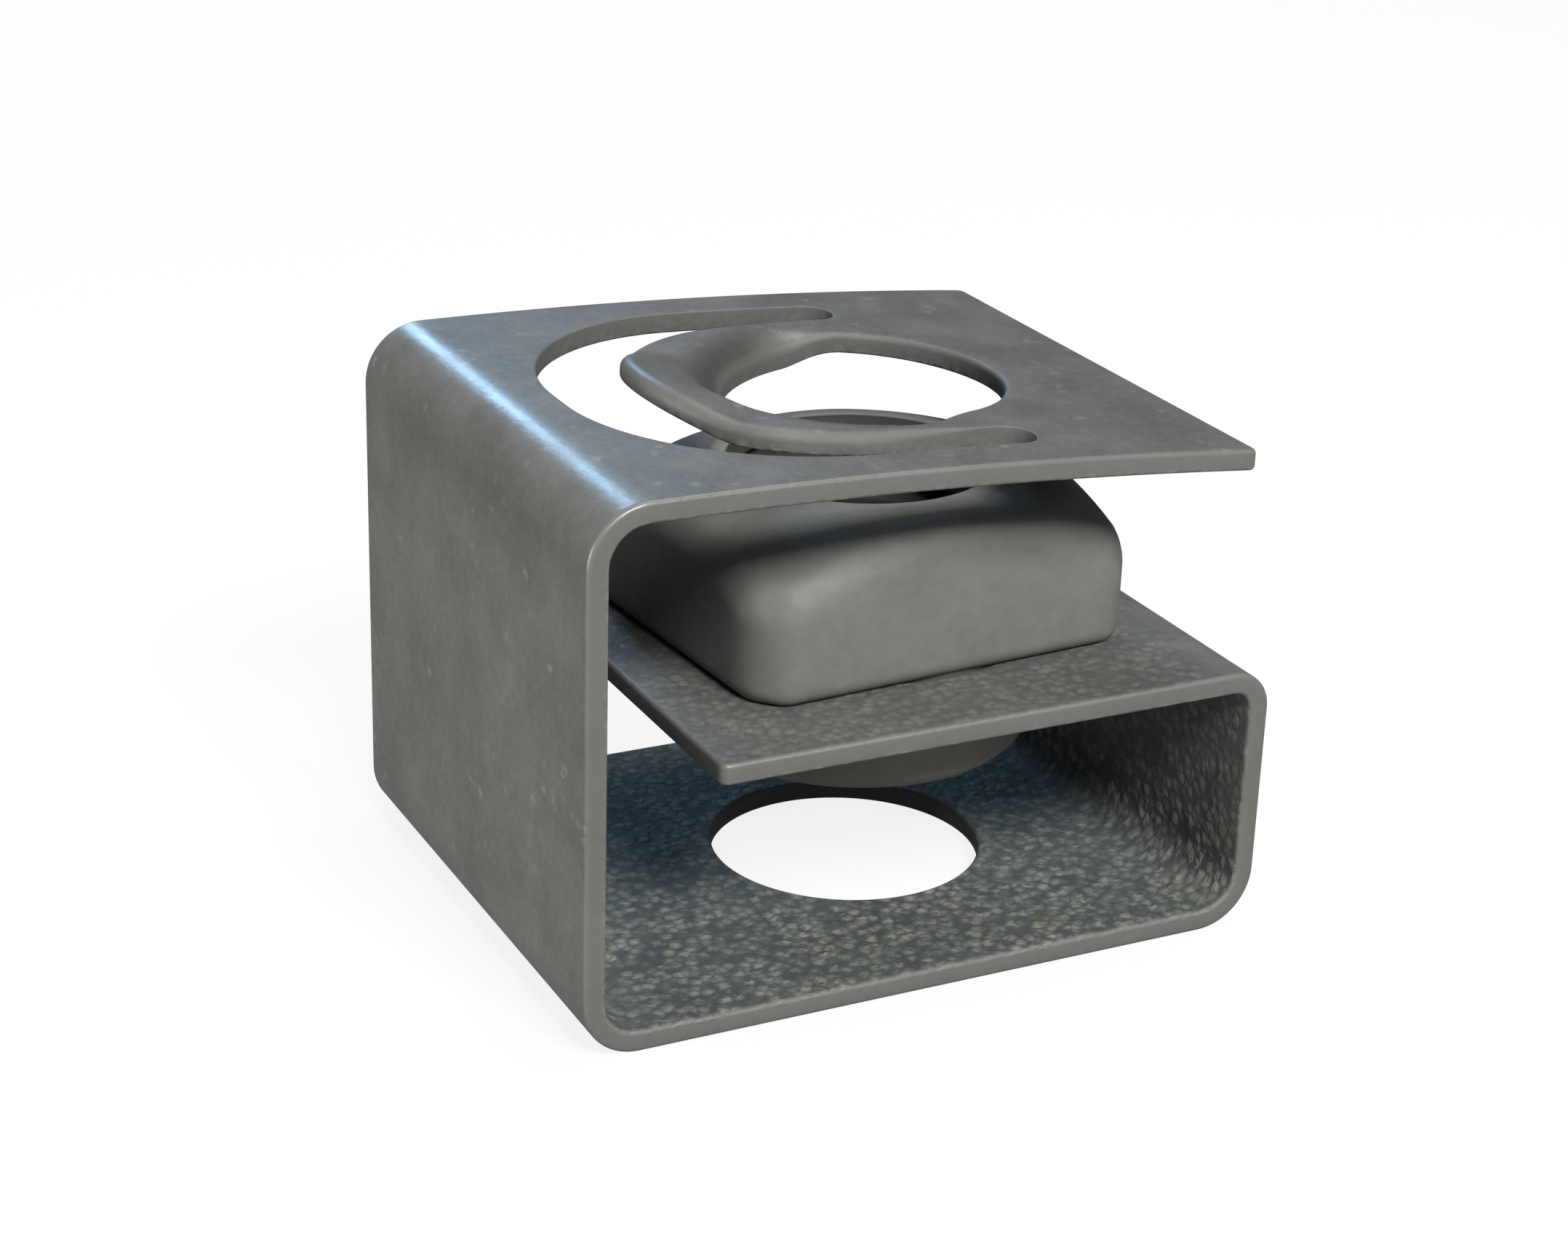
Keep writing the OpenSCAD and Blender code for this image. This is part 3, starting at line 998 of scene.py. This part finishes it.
def mottle_group():
    """Slow cloudy tone and fine streaks of a phosphate coat, both round zero."""
    tree, given, result = new_tree(
        "coat_mottle",
        "ShaderNodeTree",
        [("Place", VECTOR), ("Cloud scale", FLOAT), ("Fine scale", FLOAT)],
        [("Cloud", FLOAT), ("Fine", FLOAT)],
    )
    get = given.outputs
    for name, detail, roughness in (("Cloud", 3.0, 0.55), ("Fine", 2.0, 0.6)):
        noise = put(
            tree,
            "ShaderNodeTexNoise",
            {"Vector": get["Place"], "Scale": get[name + " scale"], "Detail": detail, "Roughness": roughness},
        )
        tree.links.new(calc(tree, "SUBTRACT", noise.outputs[0], 0.5), result.inputs[name])
    return tree


def crystal_group():
    """Crystals of the coat: soft pale lumps of mixed brightness, thicker in patches, with their height."""
    tree, given, result = new_tree(
        "coat_crystals",
        "ShaderNodeTree",
        [("Place", VECTOR), ("Grain scale", FLOAT), ("Share", FLOAT), ("Least", FLOAT)],
        [("Grains", FLOAT), ("Height", FLOAT)],
    )
    get = given.outputs
    place, scale = get["Place"], get["Grain scale"]
    patch_scale = calc(tree, "MULTIPLY", scale, PATCH_SCALE)
    patches = put(tree, "ShaderNodeTexNoise", {"Vector": place, "Scale": patch_scale, "Detail": 2.0})
    stir_scale = calc(tree, "MULTIPLY", scale, STIR_SCALE)
    stir = put(tree, "ShaderNodeTexNoise", {"Vector": place, "Scale": stir_scale})
    shift = calc(tree, "DIVIDE", calc(tree, "SUBTRACT", stir.outputs[0], 0.5), scale)
    stirred = put(
        tree,
        "ShaderNodeVectorMath",
        {0: place, 1: vector(tree, X=shift, Y=shift, Z=shift)},
        operation="ADD",
    )
    cells = put(tree, "ShaderNodeTexVoronoi", {"Vector": stirred.outputs[0], "Scale": scale})
    lump = span(tree, cells.outputs["Distance"], LUMP_MIDDLE, LUMP_RIM, 1.0, 0.0)
    pick = put(tree, "ShaderNodeSeparateColor", {0: cells.outputs["Color"]}).outputs[0]
    patchy = calc(tree, "SUBTRACT", patches.outputs[0], 0.5)
    chance = calc(tree, "MULTIPLY_ADD", patchy, PATCH_GAIN, pick)
    dimmest = calc(tree, "SUBTRACT", 1.0, get["Share"])
    bright = span(tree, chance, dimmest, BRIGHTEST, get["Least"], 1.0, smooth=False)
    height = calc(tree, "ADD", bright, LEAST_HEIGHT)
    tree.links.new(calc(tree, "MULTIPLY", lump, bright), result.inputs["Grains"])
    tree.links.new(calc(tree, "MULTIPLY", lump, height), result.inputs["Height"])
    return tree


mottle = mottle_group()
crystals = crystal_group()


def steel_material(name):
    """A material with an empty shader, and the place that its patterns follow."""
    material = bpy.data.materials.new(name)
    tree = bare_tree(material)
    shader = put(tree, "ShaderNodeBsdfPrincipled")
    output = put(tree, "ShaderNodeOutputMaterial")
    tree.links.new(shader.outputs[0], output.inputs["Surface"])
    place = put(tree, "ShaderNodeTexCoord").outputs["Object"]
    return material, tree, shader, place


def pattern(tree, group, place, values):
    """Places a shared pattern in a material with that material's own values."""
    return put(tree, "ShaderNodeGroup", {"Place": place, **values}, node_tree=group).outputs


def clouded(tree, tone, cloud_gain, fine_gain):
    """How pale the coat is, from 0 to 1, by its clouds and fine streaks."""
    cloud = calc(tree, "MULTIPLY_ADD", tone["Cloud"], cloud_gain, 0.5)
    return calc(tree, "MULTIPLY_ADD", tone["Fine"], fine_gain, cloud, clamp=True)


def blend_colour(tree, share, a, b):
    """Colour a where share is 0, and colour b where it is 1."""
    return put(tree, "ShaderNodeMix", {0: share, 6: a, 7: b}, data_type="RGBA").outputs[2]


def add_bump(tree, shader, height, bump):
    """Roughens a surface by a height."""
    node = put(tree, "ShaderNodeBump", {**bump, "Height": height})
    tree.links.new(node.outputs[0], shader.inputs["Normal"])


def make_clip_steel():
    """Grey phosphate on spring steel, with pale crystals inside and duller sheared edges."""
    material, tree, shader, place = steel_material("clip_phosphate")
    tone = pattern(tree, mottle, place, CLIP_MOTTLE)
    grain = pattern(tree, crystals, place, CLIP_CRYSTALS)
    fleck = pattern(tree, crystals, place, CLIP_FLECKS)
    inside = point_mask(tree, "inside")
    cut = point_mask(tree, "cut")
    sheared = point_mask(tree, "sheared")
    shade_and_dark = point_mask(tree, "shade_and_dark")
    cloud = clouded(tree, tone, CLIP_CLOUD_GAIN, CLIP_FINE_GAIN)
    coat = blend_colour(tree, cloud, COAT_DARK, COAT_PALE)
    coat = blend_colour(tree, fleck["Grains"], coat, FLECK)
    # Painted shade round the tongue's hole and below the roof's bend, and the shelf's darker tone
    coat = blend_colour(tree, shade_and_dark, coat, SHADE_AND_DARK)
    bed = blend_colour(tree, cloud, BED_DARK, BED_PALE)
    bed = blend_colour(tree, grain["Grains"], bed, CRYSTAL)
    coat = blend_colour(tree, inside, coat, bed)
    coat = blend_colour(tree, calc(tree, "MULTIPLY", cut, CUT_COVER), coat, CUT)
    coat = blend_colour(tree, calc(tree, "MULTIPLY", sheared, SHEARED_COVER), coat, SHEARED)
    tree.links.new(coat, shader.inputs["Base Color"])
    rough = calc(tree, "MULTIPLY_ADD", tone["Cloud"], CLIP_CLOUD_ROUGH, CLIP_ROUGH)
    for mask, extra in ((sheared, SHEARED_ROUGH), (shade_and_dark, SHADE_AND_DARK_ROUGH), (inside, INSIDE_ROUGH)):
        rough = calc(tree, "MULTIPLY_ADD", mask, extra, rough)
    tree.links.new(rough, shader.inputs["Roughness"])
    metal = calc(tree, "MULTIPLY_ADD", inside, -CLIP_METAL, CLIP_METAL)
    tree.links.new(metal, shader.inputs["Metallic"])
    shader.inputs["Specular IOR Level"].default_value = CLIP_GLOSS
    grain_bump = calc(tree, "MULTIPLY_ADD", inside, INSIDE_BUMP, OUTSIDE_BUMP)
    height = calc(tree, "MULTIPLY", grain["Height"], grain_bump)
    height = calc(tree, "MULTIPLY_ADD", tone["Fine"], FINE_BUMP, height)
    add_bump(tree, shader, height, CLIP_BUMP)
    return material


def make_nut_steel():
    """Satin grey of a forged and tumbled nut, with painted shade in its bore."""
    material, tree, shader, place = steel_material("nut_satin")
    tone = pattern(tree, mottle, place, NUT_MOTTLE)
    cloud = clouded(tree, tone, NUT_CLOUD_GAIN, NUT_FINE_GAIN)
    coat = blend_colour(tree, cloud, NUT_DARK, NUT_PALE)
    # Painted shade: the bore and its countersinks are painted near black
    coat = blend_colour(tree, point_mask(tree, "bore"), coat, BORE_SHADE)
    tree.links.new(coat, shader.inputs["Base Color"])
    rough = calc(tree, "MULTIPLY_ADD", tone["Cloud"], NUT_CLOUD_ROUGH, NUT_ROUGH)
    tree.links.new(rough, shader.inputs["Roughness"])
    shader.inputs["Metallic"].default_value = NUT_METAL
    shader.inputs["Specular IOR Level"].default_value = NUT_GLOSS
    add_bump(tree, shader, tone["Fine"], NUT_BUMP)
    return material


# Pieces


def place_piece(name, mesh, node):
    """Makes a mesh the piece that stands for a node of the part."""
    piece = bpy.data.objects.new(name, mesh)
    scene.collection.objects.link(piece)
    mesh.shade_smooth()
    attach(piece, "root")
    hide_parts(node)


place_piece("clip", make_clip(make_clip_steel()), "cage")
place_piece("loose_nut", make_nut(make_nut_steel()), "nut")


# The photographer's table, light and camera

WHITE = (1, 1, 1, 1)

# The table: half its side, how far it lies below the part, and its colours
TABLE_HALF = 1.5
TABLE_DROP = 0.02 * MM
TABLE_SEEN = (0.8, 0.8, 0.8, 1)
TABLE_SEEN_WHITE = 0.86
TABLE_BOUNCE = (0.4, 0.4, 0.39, 1)
TABLE_SHINE = 0.15

# The room: where it is bright, and its levels on the dim and the bright side
BRIGHT_SIDE = (0.1, -0.75, 0.65)
DIM_UP_TO = -0.4
BRIGHT_FROM = 0.9
ROOM_DIM = 0.015
ROOM_BRIGHT = 0.22

# The camera, with its roll in radians, its lens and film in millimetres and its near limit in metres
CAMERA_PLACE = Vector((-65.63, -122.09, 68.60)) * MM
CAMERA_AIM = Vector((-3.6601, 0.0, 12.8259)) * MM
CAMERA_ROLL = -0.0324
CAMERA_LENS = 72.456
CAMERA_FILM = 36.0
CAMERA_NEAR = 0.005


def make_table():
    """A pale table top that shows white and keeps a light shadow."""
    mesh = bpy.data.meshes.new("table")
    corners = [(-1, -1), (1, -1), (1, 1), (-1, 1)]
    mesh.from_pydata([(x * TABLE_HALF, y * TABLE_HALF, 0) for x, y in corners], [], [(0, 1, 2, 3)])
    table = bpy.data.objects.new("table", mesh)
    table.location.z = -TABLE_DROP
    scene.collection.objects.link(table)
    material = bpy.data.materials.new("table_white")
    tree = bare_tree(material)
    rays = put(tree, "ShaderNodeLightPath").outputs
    dim = put(tree, "ShaderNodeBsdfDiffuse", {"Color": TABLE_BOUNCE}).outputs[0]
    shine = put(tree, "ShaderNodeEmission", {"Color": WHITE, "Strength": TABLE_SHINE}).outputs[0]
    bounce = put(tree, "ShaderNodeMixShader", {0: rays["Is Glossy Ray"], 1: dim, 2: shine}).outputs[0]
    pale = put(tree, "ShaderNodeBsdfDiffuse", {"Color": TABLE_SEEN}).outputs[0]
    white = put(tree, "ShaderNodeEmission", {"Color": WHITE, "Strength": 1.0}).outputs[0]
    top = put(tree, "ShaderNodeMixShader", {0: TABLE_SEEN_WHITE, 1: pale, 2: white}).outputs[0]
    seen = calc(tree, "MAXIMUM", rays["Is Camera Ray"], rays["Is Transmission Ray"])
    mixed = put(tree, "ShaderNodeMixShader", {0: seen, 1: bounce, 2: top}).outputs[0]
    output = put(tree, "ShaderNodeOutputMaterial")
    tree.links.new(mixed, output.inputs["Surface"])
    mesh.materials.append(material)


def make_world():
    """A soft room: bright before the object and overhead, dim behind it."""
    world = bpy.data.worlds.new("studio")
    tree = bare_tree(world)
    toward = put(tree, "ShaderNodeTexCoord").outputs["Generated"]
    facing = put(tree, "ShaderNodeVectorMath", {0: toward, 1: BRIGHT_SIDE}, operation="DOT_PRODUCT")
    level = span(tree, facing.outputs["Value"], DIM_UP_TO, BRIGHT_FROM, ROOM_DIM, ROOM_BRIGHT)
    sky = put(tree, "ShaderNodeBackground", {"Color": WHITE, "Strength": level})
    output = put(tree, "ShaderNodeOutputWorld")
    tree.links.new(sky.outputs[0], output.inputs["Surface"])
    scene.world = world


def make_lamp(name, place, aim, size, power, colour):
    """A soft rectangular lamp that shines from its place towards its aim."""
    lamp = bpy.data.lights.new(name, "AREA")
    lamp.shape = "RECTANGLE"
    lamp.size, lamp.size_y = size
    lamp.energy = power
    lamp.color = colour
    holder = bpy.data.objects.new(name, lamp)
    holder.location = place
    holder.rotation_euler = (Vector(aim) - Vector(place)).to_track_quat("-Z", "Y").to_euler()
    scene.collection.objects.link(holder)


def make_lamps():
    """A lamp before the object, weaker ones above it and at its left, and a blue window behind it."""
    make_lamp(
        "front",
        place=(-0.01, -0.39, 0.38),
        aim=(0, 0, 0.012),
        size=(0.24, 0.14),
        power=3.9,
        colour=(1.0, 0.99, 0.96),
    )
    make_lamp(
        "ceiling",
        place=(0.12, 0.06, 0.50),
        aim=(0, 0, 0.012),
        size=(0.24, 0.24),
        power=0.85,
        colour=(1.0, 0.99, 0.97),
    )
    make_lamp(
        "left",
        place=(-0.5, 0.03, 0.04),
        aim=(0, 0, 0.004),
        size=(0.15, 0.08),
        power=1.8,
        colour=(1.0, 0.98, 0.95),
    )
    make_lamp(
        "sky",
        place=(0.10, 0.44, 0.26),
        aim=(0, 0, 0.02),
        size=(0.2, 0.12),
        power=0.14,
        colour=(0.4, 0.68, 1.0),
    )
    make_lamp(
        "window",
        place=(0.045, 0.44, 0.235),
        aim=(0, 0, 0.02),
        size=(0.06, 0.11),
        power=0.48,
        colour=(0.38, 0.67, 1.0),
    )


def make_camera():
    """The photograph's view of the part."""
    camera = bpy.data.cameras.new("camera")
    camera.sensor_width = CAMERA_FILM
    camera.sensor_fit = "HORIZONTAL"
    camera.lens = CAMERA_LENS
    camera.clip_start = CAMERA_NEAR
    holder = bpy.data.objects.new("camera", camera)
    ahead = (CAMERA_AIM - CAMERA_PLACE).normalized()
    level = ahead.cross(Vector((0, 0, 1))).normalized()
    plumb = ahead.cross(level)
    c, s = math.cos(CAMERA_ROLL), math.sin(CAMERA_ROLL)
    right, down = c * level + s * plumb, c * plumb - s * level
    turn = Matrix((right, -down, -ahead)).transposed()
    holder.matrix_world = Matrix.Translation(CAMERA_PLACE) @ turn.to_4x4()
    scene.collection.objects.link(holder)
    scene.camera = holder


make_table()
make_world()
make_lamps()
make_camera()
scene.view_settings.view_transform = "Standard"
